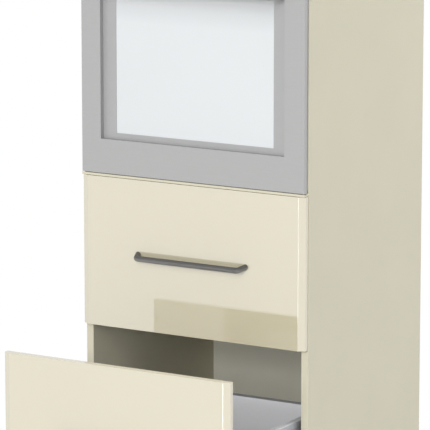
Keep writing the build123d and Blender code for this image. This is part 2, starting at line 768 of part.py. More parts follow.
# Carrier: a folded channel round the door's inner side, with ears on the hinge pins
carrier_side_gap = 16.0
carrier_reach = 18.0
carrier_inset = 17.0
carrier_bar = 20.0
carrier_sheet = 1.5
carrier_half = casing_half - carrier_side_gap
carrier_back_y = front_y + carrier_reach
inner_pane_thick = 4.0
inner_pane_lap = 9.0
carrier = (oven_z + carrier_inset, oven_door_top_z - carrier_inset)
opening = grown(carrier, -carrier_bar)
opening_half = carrier_half - carrier_bar
with BuildPart() as oven_door_carrier:
    with BuildSketch(upright(carrier_back_y)):
        band(carrier_half, carrier, 0)
        with Locations((0, sum(opening) / 2)):
            Rectangle(2 * opening_half, opening[1] - opening[0], mode=Mode.SUBTRACT)
    extrude(amount=carrier_back_y - inset_back_y)
    with BuildSketch(upright(carrier_back_y - carrier_sheet)):
        band(carrier_half, carrier, -carrier_sheet)
        with Locations((0, sum(opening) / 2)):
            Rectangle(2 * (opening_half + carrier_sheet),
                      opening[1] - opening[0] + 2 * carrier_sheet, mode=Mode.SUBTRACT)
    extrude(amount=carrier_back_y - carrier_sheet - inset_back_y, mode=Mode.SUBTRACT)
    ear_near = pivot_arm_half + pivot_ear_gap
    for side in (-1, 1):
        for away in (-1, 1):
            low = side * pivot_x + away * ear_near
            with BuildSketch(Plane.YZ.offset(min(low, low + away * pivot_ear_thick))):
                with BuildLine():
                    Polyline([(pivot_y, pivot_z - pivot_hub_radius),
                              (pivot_y + pivot_hub_radius, pivot_z),
                              (inset_back_y + carrier_bar / 2, carrier[0]),
                              (inset_back_y + carrier_bar / 2, carrier[0] + carrier_sheet),
                              (inset_back_y, carrier[0] + carrier_sheet),
                              (pivot_y - pivot_hub_radius, pivot_z)], close=True)
                make_face()
                with Locations((pivot_y, pivot_z)):
                    Circle(pivot_hub_radius)
                    Circle(pivot_pin_radius + pivot_fit, mode=Mode.SUBTRACT)
            extrude(amount=pivot_ear_thick)
save(oven_door_carrier, "oven_door_carrier")

with BuildPart() as oven_door_inner_pane:
    with BuildSketch(upright(carrier_back_y)):
        band(opening_half, opening, inner_pane_lap)
    extrude(amount=-inner_pane_thick)
save(oven_door_inner_pane, "oven_door_inner_pane")

save(bow_handle(front_face_y, (0, oven_door_top_z - oven_handle_drop), Vector(1, 0, 0),
                2 * (oven_half - oven_handle_inset), oven_handle_splay, oven_handle_reach, 0.0,
                oven_handle_rod, oven_handle_bend), "oven_door_handle")

# Fixed hinge arms with the pins, riveted to the oven's front plate
with BuildPart() as oven_hinge_arms:
    pin_half = pivot_arm_half + pivot_ear_gap + pivot_ear_thick
    for sign in (-1, 1):
        centre_x = sign * pivot_x
        pegs([(centre_x - pivot_arm_half, pivot_y, pivot_z)], (1, 0, 0), pivot_hub_radius,
             2 * pivot_arm_half)
        pegs([(centre_x - pin_half, pivot_y, pivot_z)], (1, 0, 0), pivot_pin_radius, 2 * pin_half)
        block((centre_x - pivot_arm_half, centre_x + pivot_arm_half), (pivot_y, plate_y),
              (pivot_z, pivot_z + 2 * pivot_arm_half))
save(oven_hinge_arms, "oven_hinge_arms")

# Front plate with the cavity's mouth, its sides folded forward to the screw flanges
with BuildPart() as oven_front_plate:
    with BuildSketch(upright(plate_back_y)):
        band(casing_half, casing, 0)
        with Locations((0, sum(mouth) / 2)):
            Rectangle(2 * mouth_half, mouth[1] - mouth[0], mode=Mode.SUBTRACT)
    extrude(amount=plate_sheet)
    for sign in (-1, 1):
        block((sign * (casing_half - plate_sheet), sign * casing_half),
              (front_y - oven_flange_sheet, plate_y), casing)
        block((sign * casing_half, sign * (inner_x + oven_flange)),
              (front_y - oven_flange_sheet, front_y), casing)
    pegs([(x, front_y, z) for x, y, z in oven_screw_places], (0, -1, 0),
         oven_screw_radius + peg_fit, oven_flange_sheet, Mode.SUBTRACT)
save(oven_front_plate, "oven_front_plate")

# Door gasket round the mouth
gasket_margin = 6.0
gasket_width = 6.0
gasket_corner = 22.0
gasket_edge = 2.4
gasket_squeeze = 0.3
with BuildPart() as door_gasket:
    gasket_outer = grown(mouth, gasket_margin + gasket_width)
    gasket_inner = grown(mouth, gasket_margin)
    with BuildSketch(upright(plate_y)):
        with Locations((0, sum(mouth) / 2)):
            RectangleRounded(2 * (mouth_half + gasket_margin + gasket_width),
                             gasket_outer[1] - gasket_outer[0], gasket_corner + gasket_width)
            RectangleRounded(2 * (mouth_half + gasket_margin), gasket_inner[1] - gasket_inner[0],
                             gasket_corner, mode=Mode.SUBTRACT)
    extrude(amount=plate_y - carrier_back_y - inner_pane_thick - gasket_squeeze)
    fillet(door_gasket.faces().sort_by(Axis.Y)[0].edges(), gasket_edge)
save(door_gasket, "door_gasket")

# Enamelled cavity and the outer casing round it, both closed at the rear
with BuildPart() as oven_cavity:
    block((-mouth_half - cavity_sheet, mouth_half + cavity_sheet),
          (plate_back_y, cavity_back_y + cavity_sheet), grown(mouth, cavity_sheet))
    fillet(oven_cavity.edges().filter_by(Axis.Y), cavity_corner + cavity_sheet)
    with BuildSketch(upright(plate_back_y)):
        with Locations((0, sum(mouth) / 2)):
            RectangleRounded(2 * mouth_half, mouth[1] - mouth[0], cavity_corner)
    extrude(amount=-mouth_depth, mode=Mode.SUBTRACT)
save(oven_cavity, "oven_cavity")

casing_back_y = front_y + casing_rear
with BuildPart() as oven_casing:
    block((-casing_half, casing_half), (plate_back_y, casing_back_y), casing)
    block((-casing_half + casing_sheet, casing_half - casing_sheet),
          (plate_back_y, casing_back_y - casing_sheet), grown(casing, -casing_sheet),
          Mode.SUBTRACT)
save(oven_casing, "oven_casing")

# Mains terminal box at the rear, with a gland for the cable
terminal_inset = 73.0
terminal_z = 116.0
terminal_width = 90.0
terminal_height = 70.0
terminal_depth = 24.0
terminal_wall = 2.5
gland_radius = 10.0
gland_bore_radius = 4.5
gland_length = 15.0
gland_y = casing_back_y + terminal_depth / 2
terminal_floor_z = niche_floor_z + terminal_z
terminal_x = terminal_inset - casing_half
with BuildPart() as terminal_box:
    terminal_span_x = (terminal_x - terminal_width / 2, terminal_x + terminal_width / 2)
    terminal_span_z = (terminal_floor_z, terminal_floor_z + terminal_height)
    block(terminal_span_x, (casing_back_y, casing_back_y + terminal_depth), terminal_span_z)
    block(grown(terminal_span_x, -terminal_wall),
          (casing_back_y, casing_back_y + terminal_depth - terminal_wall),
          grown(terminal_span_z, -terminal_wall), Mode.SUBTRACT)
    pegs([(terminal_x, gland_y, terminal_floor_z)], (0, 0, -1), gland_radius, gland_length)
    pegs([(terminal_x, gland_y, terminal_floor_z - gland_length)], (0, 0, 1), gland_bore_radius,
         gland_length + terminal_wall, Mode.SUBTRACT)
save(terminal_box, "terminal_box")

# Wire ladders on the cavity's side walls, with five levels of double rails
wire_radius = 2.5
wire_gap = 0.2
wire_fuse = 4.5
ladder_front = 45.0
ladder_end_gap = 20.0
ladder_rise = 60.0
ladder_top_gap = 70.0
ladder_levels = 5
rail_pair = 16.0
post_x = mouth_half - wire_radius - wire_gap
rail_x = post_x - wire_fuse
ladder_y = (front_y + ladder_front, cavity_back_y - ladder_end_gap)
rail_levels = spread(mouth[0] + ladder_rise, mouth[1] - ladder_top_gap, ladder_levels)
post_rows = [ladder_y[0] + ladder_end_gap, ladder_y[1] - ladder_end_gap]
with BuildPart() as rack_ladders:
    rails = [(sign * rail_x, ladder_y[0], z + offset) for sign in (-1, 1) for z in rail_levels
             for offset in (0, rail_pair)]
    pegs(rails, (0, 1, 0), wire_radius, ladder_y[1] - ladder_y[0])
    post_z = rail_levels[0] - ladder_end_gap
    posts = [(sign * post_x, y, post_z) for sign in (-1, 1) for y in post_rows]
    pegs(posts, (0, 0, 1), wire_radius, rail_levels[-1] + rail_pair + ladder_end_gap - post_z)
save(rack_ladders, "rack_ladders")

# Wire rack that lies on a pair of rails
rack_side_gap = 1.8
rack_end_gap = 8.0
rack_wire_radius = 1.6
rack_wire_count = 15
rack_bend = 14.0
rack_half = rail_x - rack_side_gap
rack_y = grown(ladder_y, -rack_end_gap)
rack_z = rail_levels[2] + 2 * wire_radius + peg_fit
with BuildSketch(Plane.XY.offset(rack_z)) as rack_outline:
    with Locations((0, sum(rack_y) / 2)):
        RectangleRounded(2 * rack_half, rack_y[1] - rack_y[0], rack_bend)
rack_path = rack_outline.sketch.face().outer_wire()
with BuildPart() as wire_rack:
    with BuildSketch(Plane(origin=rack_path @ 0, z_dir=rack_path % 0)):
        Circle(wire_radius)
    sweep(path=rack_path)
    rack_ends = spread(-rack_half + 2 * rack_bend, rack_half - 2 * rack_bend, rack_wire_count)
    pegs([(x, rack_y[0], rack_z) for x in rack_ends], (0, 1, 0), rack_wire_radius,
         rack_y[1] - rack_y[0])
save(wire_rack, "wire_rack")

# Baking tray, held by its rim on a lower pair of rails
tray_sheet = 1.2
tray_depth = 30.0
tray_rim = 12.0
tray_corner = 18.0
tray_z = rail_levels[0] + wire_radius + peg_fit
tray_middle = (0, sum(rack_y) / 2)
tray_half = rack_half + wire_radius
tray_length = rack_y[1] - rack_y[0]
with BuildPart() as baking_tray:
    with BuildSketch(Plane.XY.offset(tray_z)):
        with Locations(tray_middle):
            RectangleRounded(2 * tray_half, tray_length, tray_corner)
    extrude(amount=tray_sheet)
    with BuildSketch(Plane.XY.offset(tray_z + tray_sheet)):
        with Locations(tray_middle):
            RectangleRounded(2 * (tray_half - tray_rim), tray_length - 2 * tray_rim, tray_corner)
    extrude(amount=-tray_depth)
    with BuildSketch(Plane.XY.offset(tray_z + tray_sheet)):
        with Locations(tray_middle):
            RectangleRounded(2 * (tray_half - tray_rim - tray_sheet),
                             tray_length - 2 * (tray_rim + tray_sheet), tray_corner - tray_sheet)
    extrude(amount=tray_sheet - tray_depth, mode=Mode.SUBTRACT)
save(baking_tray, "baking_tray")

# Grill element under the cavity's ceiling, with both ends at the rear wall
element_radius = 3.25
element_drop = 24.0
element_bend = 24.0
element_side_gap = 40.0
element_lanes = 5
element_front = 45.0
element_rear = 70.0
element_z = mouth[1] - element_drop
element_step = 2 * (mouth_half - element_side_gap) / element_lanes
with BuildPart() as grill_element:
    near = plate_back_y + element_front
    far = cavity_back_y - element_rear
    half_path = [(element_step / 2, cavity_back_y), (element_step / 2, near + element_step),
                 (element_step * 1.5, near + element_step), (element_step * 1.5, far),
                 (element_step * 2.5, far), (element_step * 2.5, near)]
    element_points = [(x, y) for x, y in half_path] + [(-x, y) for x, y in reversed(half_path)]
    with BuildLine(Plane.XY.offset(element_z)) as element_path:
        FilletPolyline(*element_points, radius=element_bend)
    with BuildSketch(Plane(origin=element_path.line @ 0, z_dir=element_path.line % 0)):
        Circle(element_radius)
    sweep()
save(grill_element, "grill_element")

# Control panel: a shallow shell with holes for two knobs and two pilot lamps
panel_sheet = 2.5
knob_inset = 132.5
lamp_x = 32.0
shaft_hole_radius = 4.5
lamp_radius = 4.0
lamp_fit = 0.15
knob_x = oven_half - knob_inset
panel_middle_z = sum(panel) / 2
panel_back_y = front_y - oven_flange_sheet
panel_inner_y = front_face_y + panel_sheet
with BuildPart() as control_panel:
    block((-oven_half, oven_half), (front_face_y, panel_back_y), panel)
    fillet(control_panel.faces().sort_by(Axis.Y)[0].edges(), frame_soften)
    block((-oven_half + panel_sheet, oven_half - panel_sheet), (panel_inner_y, panel_back_y),
          grown(panel, -panel_sheet), Mode.SUBTRACT)
    pegs([(sign * knob_x, front_face_y, panel_middle_z) for sign in (-1, 1)], (0, 1, 0),
         shaft_hole_radius, panel_sheet, Mode.SUBTRACT)
    pegs([(sign * lamp_x, front_face_y, panel_middle_z) for sign in (-1, 1)], (0, 1, 0),
         lamp_radius + lamp_fit, panel_sheet, Mode.SUBTRACT)
save(control_panel, "control_panel")

lamp_proud = 1.5
lamp_edge = 1.2
lamp_flange_radius = 6.0
lamp_flange_thick = 2.0
with BuildPart() as pilot_lamps:
    pegs([(sign * lamp_x, front_face_y - lamp_proud, panel_middle_z) for sign in (-1, 1)],
         (0, 1, 0), lamp_radius, lamp_proud + panel_sheet)
    fillet(pilot_lamps.edges().filter_by(GeomType.CIRCLE).group_by(Axis.Y)[0], lamp_edge)
    pegs([(sign * lamp_x, panel_inner_y, panel_middle_z) for sign in (-1, 1)], (0, 1, 0),
         lamp_flange_radius, lamp_flange_thick)
save(pilot_lamps, "pilot_lamps")

# Switches behind the panel, and the knobs whose shafts turn in them
switch_size = 40.0
switch_gap = 0.5
shaft_radius = 3.0
shaft_fit = 0.05
shaft_bore_depth = 22.0
with BuildPart() as oven_switches:
    switch_y = panel_inner_y + switch_gap
    for sign in (-1, 1):
        block((sign * knob_x - switch_size / 2, sign * knob_x + switch_size / 2),
              (switch_y, plate_y),
              (panel_middle_z - switch_size / 2, panel_middle_z + switch_size / 2))
    pegs([(sign * knob_x, switch_y, panel_middle_z) for sign in (-1, 1)], (0, 1, 0),
         shaft_radius + shaft_fit, shaft_bore_depth, Mode.SUBTRACT)
save(oven_switches, "oven_switches")

knob_gap = 0.6
skirt_radius = 23.0
skirt_thick = 4.0
knob_radius = 19.0
knob_length = 19.0
knob_edge = 2.0
grip_half = 5.0
grip_depth = 11.0
for knob_name, side in (("function_knob", -1), ("temperature_knob", 1)):
    knob_back_y = front_face_y - knob_gap
    centre = (side * knob_x, knob_back_y, panel_middle_z)
    with BuildPart() as knob:
        pegs([centre], (0, -1, 0), skirt_radius, skirt_thick)
        pegs([centre], (0, -1, 0), knob_radius, knob_length)
        fillet(knob.edges().filter_by(GeomType.CIRCLE).group_by(Axis.Y)[0], knob_edge)
        for away in (-1, 1):
            block((centre[0] + away * grip_half, centre[0] + away * skirt_radius),
                  (knob_back_y - knob_length, knob_back_y - knob_length + grip_depth),
                  (centre[2] - skirt_radius, centre[2] + skirt_radius), Mode.SUBTRACT)
        pegs([centre], (0, 1, 0), shaft_radius,
             switch_y + shaft_bore_depth - knob_back_y - knob_gap)
    save(knob, knob_name)
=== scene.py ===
import json
import math
import bmesh
import bpy
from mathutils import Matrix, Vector


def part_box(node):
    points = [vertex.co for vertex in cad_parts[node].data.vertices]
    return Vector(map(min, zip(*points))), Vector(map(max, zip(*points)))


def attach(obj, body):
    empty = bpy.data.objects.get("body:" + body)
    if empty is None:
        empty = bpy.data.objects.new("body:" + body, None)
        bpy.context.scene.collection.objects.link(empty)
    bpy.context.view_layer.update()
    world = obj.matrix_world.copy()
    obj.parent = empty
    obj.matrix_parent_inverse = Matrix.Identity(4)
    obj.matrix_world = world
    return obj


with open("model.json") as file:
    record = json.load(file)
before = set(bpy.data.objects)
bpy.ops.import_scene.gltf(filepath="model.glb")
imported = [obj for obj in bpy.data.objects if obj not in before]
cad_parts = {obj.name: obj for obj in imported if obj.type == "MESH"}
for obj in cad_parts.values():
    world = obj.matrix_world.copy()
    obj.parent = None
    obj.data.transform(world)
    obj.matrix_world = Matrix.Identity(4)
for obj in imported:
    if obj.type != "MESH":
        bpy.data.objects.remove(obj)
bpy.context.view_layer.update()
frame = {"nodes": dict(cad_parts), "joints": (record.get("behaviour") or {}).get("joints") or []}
nodes = frame["nodes"]

# Side panels, boards and the wall rail: 18 mm chipboard faced with cream melamine, with thin
# banding on the front edges. Where the oven niche is open behind, the rear edges show the raw
# chips. The melamine has a fine pearl grain that takes the shine off.


def surface(name, colour, roughness, metallic=0.0):
    """A new material with its plain colour, and the tree and shader to add detail to."""
    made = bpy.data.materials.new(name)
    made.use_nodes = True
    made.diffuse_color = (*colour, 1.0)
    shader = made.node_tree.nodes["Principled BSDF"]
    shader.inputs["Base Color"].default_value = (*colour, 1.0)
    shader.inputs["Roughness"].default_value = roughness
    shader.inputs["Metallic"].default_value = metallic
    return made, made.node_tree, shader


def noise(tree, scale, stretch=(1.0, 1.0, 1.0), detail=3.0):
    """A noise in the piece's own metres, finer with a larger scale and drawn out by stretch."""
    place = tree.nodes.new("ShaderNodeTexCoord")
    mapping = tree.nodes.new("ShaderNodeMapping")
    mapping.inputs["Scale"].default_value = stretch
    texture = tree.nodes.new("ShaderNodeTexNoise")
    texture.inputs["Scale"].default_value = scale
    texture.inputs["Detail"].default_value = detail
    tree.links.new(place.outputs["Object"], mapping.inputs["Vector"])
    tree.links.new(mapping.outputs["Vector"], texture.inputs["Vector"])
    return texture.outputs["Fac"]


def between(tree, factor, low, high, start=0.35, end=0.65):
    """Two colours, or two greys, with a factor fading from one to the other."""
    ramp = tree.nodes.new("ShaderNodeValToRGB")
    ramp.color_ramp.elements[0].position = start
    ramp.color_ramp.elements[1].position = end
    for element, shade in zip(ramp.color_ramp.elements, (low, high)):
        element.color = (shade, shade, shade, 1.0) if isinstance(shade, float) else (*shade, 1.0)
    tree.links.new(factor, ramp.inputs["Fac"])
    return ramp.outputs["Color"]


def relief(tree, shader, height, depth):
    """Fine bumps of a real depth in metres on the shader's surface."""
    bump = tree.nodes.new("ShaderNodeBump")
    bump.inputs["Strength"].default_value = 1.0
    bump.inputs["Distance"].default_value = depth
    tree.links.new(height, bump.inputs["Height"])
    tree.links.new(bump.outputs["Normal"], shader.inputs["Normal"])


def facing(tree, axis, low, high):
    """1 where the surface faces along an axis, 0 where it doesn't."""
    geometry = tree.nodes.new("ShaderNodeNewGeometry")
    parts = tree.nodes.new("ShaderNodeSeparateXYZ")
    span = tree.nodes.new("ShaderNodeMapRange")
    span.inputs["From Min"].default_value = low
    span.inputs["From Max"].default_value = high
    tree.links.new(geometry.outputs["Normal"], parts.inputs["Vector"])
    tree.links.new(parts.outputs[axis], span.inputs["Value"])
    return span.outputs["Result"]


def blended(tree, factor, first, second):
    """One colour input laid over another by a factor that varies over the piece."""
    mix = tree.nodes.new("ShaderNodeMix")
    mix.data_type = "RGBA"
    tree.links.new(factor, mix.inputs["Factor"])
    tree.links.new(first, mix.inputs["A"])
    tree.links.new(second, mix.inputs["B"])
    return mix.outputs["Result"]


def dress(names, material, edge=0.0, smooth=False):
    """Gives CAD nodes a material and, if asked, slightly broken edges and smooth round faces."""
    for name in names:
        piece = nodes[name]
        piece.data.materials.clear()
        piece.data.materials.append(material)
        if smooth:
            piece.data.shade_smooth()
            piece.data.set_sharp_from_angle(angle=math.radians(32))
        if edge:
            broken = piece.modifiers.new("broken edges", "BEVEL")
            broken.width = edge
            broken.segments = 2
            broken.limit_method = "ANGLE"
            broken.angle_limit = math.radians(50)
            broken.harden_normals = True


melamine, tree, shader = surface("cream_melamine", (0.62, 0.589, 0.462), roughness=0.42)
cream = between(tree, noise(tree, 6.0), (0.613, 0.583, 0.457), (0.627, 0.595, 0.467))
chips = between(tree, noise(tree, 420.0, detail=5.0), (0.20, 0.13, 0.07), (0.55, 0.42, 0.27))
tree.links.new(blended(tree, facing(tree, "Y", 0.80, 0.95), cream, chips),
               shader.inputs["Base Color"])
tree.links.new(between(tree, noise(tree, 900.0), 0.38, 0.48), shader.inputs["Roughness"])
relief(tree, shader, noise(tree, 1400.0, detail=1.0), depth=0.00006)
boards = ["side_panel_left", "side_panel_right", "bottom_panel", "oven_shelf",
          "niche_top_panel", "top_panel", "adjustable_shelf", "wall_rail"]
dress(boards, melamine)

# Strip under the oven: a cream strip glued along the front edge of the shelf, in the joint over
# the pull-out's front. Its top is hollowed round the path of the oven door's lower edge.
shelf_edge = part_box("oven_shelf")[0]
pull_out_low, pull_out_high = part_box("middle_drawer_front")
door_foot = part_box("oven_door_frame")[0]
door_joint = next(joint for joint in frame["joints"] if joint["name"] == "oven_door_hinge")
door_hinge = Vector(door_joint["pos_m"])
strip_joint = 0.001
strip_setback = 0.0008
strip_lip = 0.0004
swing_room = 0.0003
hollow_end = math.radians(47)
hollow_steps = 7


def new_piece(name, mesh_maker, material, body, smooth=True):
    """A mesh piece in the cabinet's own metres that rides on a body."""
    mesh = bpy.data.meshes.new(name)
    shape = bmesh.new()
    mesh_maker(shape)
    bmesh.ops.recalc_face_normals(shape, faces=shape.faces[:])
    shape.to_mesh(mesh)
    shape.free()
    mesh.materials.append(material)
    piece = bpy.data.objects.new(name, mesh)
    bpy.context.scene.collection.objects.link(piece)
    if smooth:
        mesh.shade_smooth()
        mesh.set_sharp_from_angle(angle=math.radians(35))
    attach(piece, body)


def flat_bar(shape, corners, offset):
    """A closed bar: an outline of corners, pushed along an offset."""
    near = [shape.verts.new(Vector(corner)) for corner in corners]
    far = [shape.verts.new(Vector(corner) + Vector(offset)) for corner in corners]
    shape.faces.new(near)
    shape.faces.new(far[::-1])
    for step in range(len(near)):
        after = (step + 1) % len(near)
        shape.faces.new([near[step], near[after], far[after], far[step]])


def niche_strip(shape):
    front = pull_out_low.y + strip_setback
    low = pull_out_high.z + strip_joint
    swing = math.hypot(door_foot.y - door_hinge.y, door_foot.z - door_hinge.z) + swing_room
    reach = front - door_hinge.y
    start = math.acos((reach + strip_lip) / swing)
    hollow = []
    for step in range(hollow_steps + 1):
        turn = start + (hollow_end - start) * step / hollow_steps
        hollow.append((door_hinge.y + swing * math.cos(turn),
                       door_hinge.z - swing * math.sin(turn)))
    corners = [(shelf_edge.y, low), (front, low), (front, hollow[0][1]), *hollow,
               (shelf_edge.y, hollow[-1][1])]
    flat_bar(shape, [(pull_out_low.x, y, z) for y, z in corners],
             (pull_out_high.x - pull_out_low.x, 0, 0))


new_piece("niche_strip", niche_strip, melamine, "cabinet", smooth=False)

# Plastic caps over the cam fittings: thin domed discs pressed into the bores under each board,
# in cream plastic that nearly matches the melamine.


def turned(shape, profile, centre, direction, steps=32):
    """Adds a turned form: (radius, distance) points spun round a direction from a centre."""
    aim = Vector(direction).normalized()
    side = aim.orthogonal().normalized()
    other = aim.cross(side)
    rings = []
    for radius, distance in profile:
        middle = Vector(centre) + aim * distance
        if radius == 0:
            rings.append([shape.verts.new(middle)])
            continue
        rings.append([shape.verts.new(middle + radius * (math.cos(turn) * side
                                                         + math.sin(turn) * other))
                      for turn in (math.tau * step / steps for step in range(steps))])
    for low, high in zip(rings, rings[1:]):
        for step in range(steps):
            after = (step + 1) % steps
            corners = [low[step % len(low)], low[after % len(low)],
                       high[after % len(high)], high[step % len(high)]]
            unique = list(dict.fromkeys(corners))
            if len(unique) > 2:
                shape.faces.new(unique)


cap_radius = 0.0085
cap_rim = 0.0004
cap_dome_radius = 0.0068
cap_dome_rise = 0.00099
cap_rise = 0.0011
cap_profile = [(0, 0), (cap_radius, 0), (cap_radius, cap_rim), (cap_dome_radius, cap_dome_rise),
               (0, cap_rise)]
cap_x = 0.248
cap_y = 0.220
capped_boards = ("bottom_panel", "oven_shelf", "niche_top_panel", "top_panel")
cap_levels = [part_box(board)[0].z for board in capped_boards]
cap_plastic, tree, shader = surface("cream_cap_plastic", (0.60, 0.57, 0.455), roughness=0.35)
relief(tree, shader, noise(tree, 700.0), depth=0.00005)


def cam_caps(shape):
    for level in cap_levels:
        for x in (-cap_x, cap_x):
            for y in (-cap_y, cap_y):
                turned(shape, cap_profile, (x, y, level), (0, 0, -1))


new_piece("cam_caps", cam_caps, cap_plastic, "cabinet")

# Cam fittings, shelf pins, runners, brackets and the other small fittings: pressed or turned
# steel with a bright zinc coat, which is cloudy and a little blue where it isn't rubbed.
zinc, tree, shader = surface("zinc_coated_steel", (0.56, 0.57, 0.59), roughness=0.36, metallic=0.9)
tree.links.new(between(tree, noise(tree, 90.0), (0.50, 0.51, 0.53), (0.60, 0.61, 0.63)),
               shader.inputs["Base Color"])
tree.links.new(between(tree, noise(tree, 260.0, (1.0, 0.15, 1.0)), 0.28, 0.44),
               shader.inputs["Roughness"])
relief(tree, shader, noise(tree, 800.0), depth=0.00003)
dress(["cam_fittings", "shelf_pins", "carcass_screws", "cabinet_runners",
       "lower_drawer_members", "lower_drawer_middle_members", "lower_drawer_fixings",
       "middle_drawer_members", "middle_drawer_middle_members", "middle_drawer_fixings",
       "upper_door_fixings", "hinge_arms", "oven_hinge_arms"], zinc, smooth=True)

# Hardboard backs: 3 mm sheets, white-cream lacquer on the face towards the inside and raw brown
# fibre behind, with the screws let in flush all round.
hardboard, tree, shader = surface("hardboard", (0.60, 0.57, 0.49), roughness=0.5)
lacquered = between(tree, noise(tree, 8.0), (0.75, 0.735, 0.64), (0.77, 0.755, 0.66))
fibres = between(tree, noise(tree, 160.0, (1.0, 1.0, 0.6), 6.0), (0.19, 0.115, 0.06),
                 (0.30, 0.195, 0.11))
tree.links.new(blended(tree, facing(tree, "Y", 0.3, 0.6), lacquered, fibres),
               shader.inputs["Base Color"])
tree.links.new(between(tree, noise(tree, 500.0), 0.5, 0.7), shader.inputs["Roughness"])
relief(tree, shader, noise(tree, 900.0, detail=4.0), depth=0.0001)
dress(["back_panel_lower", "back_panel_upper"], hardboard)

# Legs and clips: black glass-filled plastic with a fine sparked surface, as on the oven's terminal
# box and switches. Each socket has a flange under the carcass, stiffened by upright fins, and the
# plinth clips grip the front pair.
black_plastic, tree, shader = surface("black_moulded_plastic", (0.018, 0.018, 0.019), roughness=0.48)
tree.links.new(between(tree, noise(tree, 30.0), (0.014, 0.014, 0.015), (0.026, 0.026, 0.028)),
               shader.inputs["Base Color"])
tree.links.new(between(tree, noise(tree, 600.0), 0.42, 0.58), shader.inputs["Roughness"])
relief(tree, shader, noise(tree, 1600.0, detail=2.0), depth=0.00008)
dress(["leg_sockets", "leg_feet", "plinth_clips", "terminal_box", "oven_switches"],
      black_plastic, smooth=True)

leg_x = 0.240
leg_front_y = -0.175
leg_rear_y = 0.220
fin_count = 8
fin_inner = 0.0185
fin_outer = 0.033
fin_thick = 0.0016
fin_low = 0.118
fin_high = 0.144


def socket_fins(shape):
    spots = [(x, y) for x in (-leg_x, leg_x) for y in (leg_front_y, leg_rear_y)]
    for x, y in spots:
        for step in range(fin_count):
            turn = math.tau * (step + 0.5) / fin_count
            out = Vector((math.cos(turn), math.sin(turn), 0))
            side = Vector((-math.sin(turn), math.cos(turn), 0)) * fin_thick
            foot = Vector((x, y, 0)) - side / 2
            flat_bar(shape, [foot + out * fin_inner + Vector((0, 0, fin_low)),
                             foot + out * fin_inner + Vector((0, 0, fin_high)),
                             foot + out * fin_outer + Vector((0, 0, fin_high))], side)


new_piece("socket_fins", socket_fins, black_plastic, "cabinet", smooth=False)

# Plinth board: cream melamine on 16 mm board, held 3 mm off the floor by its clips, with a soft
# clear lip pushed on below it that ends just over the floor.
plinth, tree, shader = surface("plinth_melamine", (0.62, 0.589, 0.462), roughness=0.4)
tree.links.new(between(tree, noise(tree, 5.0, (0.3, 1.0, 1.0)), (0.61, 0.58, 0.455),
                       (0.63, 0.598, 0.469)), shader.inputs["Base Color"])
relief(tree, shader, noise(tree, 1400.0, detail=1.0), depth=0.00006)
dress(["plinth_board"], plinth, edge=0.0005)
lip_plastic, tree, shader = surface("clear_lip_plastic", (0.55, 0.55, 0.52), roughness=0.3)
relief(tree, shader, noise(tree, 400.0), depth=0.00005)
plinth_low, plinth_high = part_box("plinth_board")
lip_setback = 0.003
lip_thick = 0.0055
lip_tip_half = 0.0012
lip_floor_gap = 0.0004


def plinth_lip(shape):
    front = plinth_low.y + lip_setback
    outline = [(front, plinth_low.z), (front + lip_thick, plinth_low.z),
               (front + lip_tip_half, lip_floor_gap), (front - lip_tip_half, lip_floor_gap)]
    flat_bar(shape, [(plinth_low.x, y, z) for y, z in outline],
             (plinth_high.x - plinth_low.x, 0, 0))


new_piece("plinth_lip", plinth_lip, lip_plastic, "cabinet", smooth=False)

# Door and drawer fronts: 18 mm board with a thick cream lacquer, polished so that it mirrors what
# stands before it. The upright edges roll round to the back, and the gloss has a very slight
# orange peel.
lacquer, tree, shader = surface("cream_gloss_lacquer", (0.615, 0.564, 0.41), roughness=0.3)
tree.links.new(between(tree, noise(tree, 2.5), (0.610, 0.559, 0.406), (0.620, 0.569, 0.414)),
               shader.inputs["Base Color"])
shader.inputs["Specular IOR Level"].default_value = 0.2
shader.inputs["Coat Weight"].default_value = 1.0
shader.inputs["Coat IOR"].default_value = 3.0
shader.inputs["Coat Roughness"].default_value = 0.015
relief(tree, shader, noise(tree, 160.0, detail=1.0), depth=0.000004)
dress(["upper_door", "middle_drawer_front", "lower_drawer_front"], lacquer, smooth=True)

# Handles: round bars bent at both ends, on the fronts and on the oven door. The dark steel is
# drawn through a brush along the bar, so its shine runs along it in fine streaks. A painted
# highlight makes its underside brighter and a painted shade makes its top darker.
along_x = (0.06, 1.0, 1.0)
along_z = (1.0, 1.0, 0.06)
for title, grain, handles in (
        ("brushed_dark_steel", along_x,
         ["middle_drawer_handle", "lower_drawer_handle", "oven_door_handle"]),
        ("brushed_dark_steel_upright", along_z, ["upper_door_handle"])):
    brushed, tree, shader = surface(title, (0.24, 0.236, 0.23), roughness=0.4, metallic=0.6)
    dark = between(tree, noise(tree, 500.0, grain), (0.10, 0.098, 0.096), (0.13, 0.128, 0.125))
    painted_light_underside = between(tree, noise(tree, 500.0, grain), (0.27, 0.265, 0.26), (0.33, 0.325, 0.32))
    # Painted light: the colour goes from the darker top to the lighter underside by which way each face
    # points.
    tree.links.new(blended(tree, facing(tree, "Z", 0.55, -0.75), dark, painted_light_underside),
                   shader.inputs["Base Color"])
    tree.links.new(between(tree, noise(tree, 700.0, grain), 0.34, 0.48),
                   shader.inputs["Roughness"])
    relief(tree, shader, noise(tree, 900.0, grain), depth=0.00003)
    dress(handles, brushed, smooth=True)
